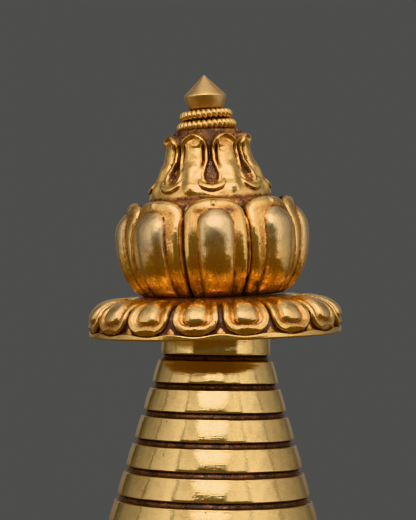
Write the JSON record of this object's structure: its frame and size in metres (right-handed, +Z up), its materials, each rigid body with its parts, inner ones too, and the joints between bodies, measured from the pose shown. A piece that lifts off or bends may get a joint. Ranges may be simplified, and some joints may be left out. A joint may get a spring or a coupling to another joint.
{
  "type": "stupa spire finial",
  "caption": "Gilt copper-alloy top of a small stupa: ringed conical spire, lotus-petal parasol, lotus bud, rope rings and a pointed jewel.",
  "frame": {"origin": "centre of the flat seat under the lowest ring", "axes": "+Z up the spire, -Y towards the pictured front, +X to the right seen from the front"},
  "size_m": [0.0976, 0.0976, 0.1941],
  "materials": {
    "burnished_gilding": "pale gold gilding, filed and burnished, small casting pits",
    "chased_gilding": "deep orange-gold fire gilding over chased relief, dark patina in the crevices",
    "recess_patina": "dark brown patina in the recesses"
  },
  "bodies": {
    "root": {"ring_01": "burnished_gilding", "ring_02": "burnished_gilding", "ring_03": "burnished_gilding", "ring_04": "burnished_gilding", "ring_05": "burnished_gilding", "ring_06": "burnished_gilding", "ring_07": "burnished_gilding", "ring_08": "burnished_gilding", "ring_09": "burnished_gilding", "ring_10": "burnished_gilding", "ring_11": "burnished_gilding", "ring_12": "burnished_gilding", "neck_ring": "burnished_gilding", "parasol_disc": "chased_gilding", "parasol_petal_01": "chased_gilding", "parasol_petal_02": "chased_gilding", "parasol_petal_03": "chased_gilding", "parasol_petal_04": "chased_gilding", "parasol_petal_05": "chased_gilding", "parasol_petal_06": "chased_gilding", "parasol_petal_07": "chased_gilding", "parasol_petal_08": "chased_gilding", "parasol_petal_09": "chased_gilding", "parasol_petal_10": "chased_gilding", "parasol_petal_11": "chased_gilding", "parasol_petal_12": "chased_gilding", "parasol_petal_13": "chased_gilding", "parasol_petal_14": "chased_gilding", "parasol_petal_15": "chased_gilding", "parasol_petal_16": "chased_gilding", "bud_core": "recess_patina", "bud_petal_1": "chased_gilding", "bud_petal_2": "chased_gilding", "bud_petal_3": "chased_gilding", "bud_petal_4": "chased_gilding", "bud_petal_5": "chased_gilding", "bud_petal_6": "chased_gilding", "bud_petal_7": "chased_gilding", "bud_petal_8": "chased_gilding", "lotus_collar": "chased_gilding", "jewel_stem": "recess_patina", "rope_ring_lower": "burnished_gilding", "rope_ring_upper": "burnished_gilding", "jewel": "burnished_gilding"}
  },
  "joints": []
}
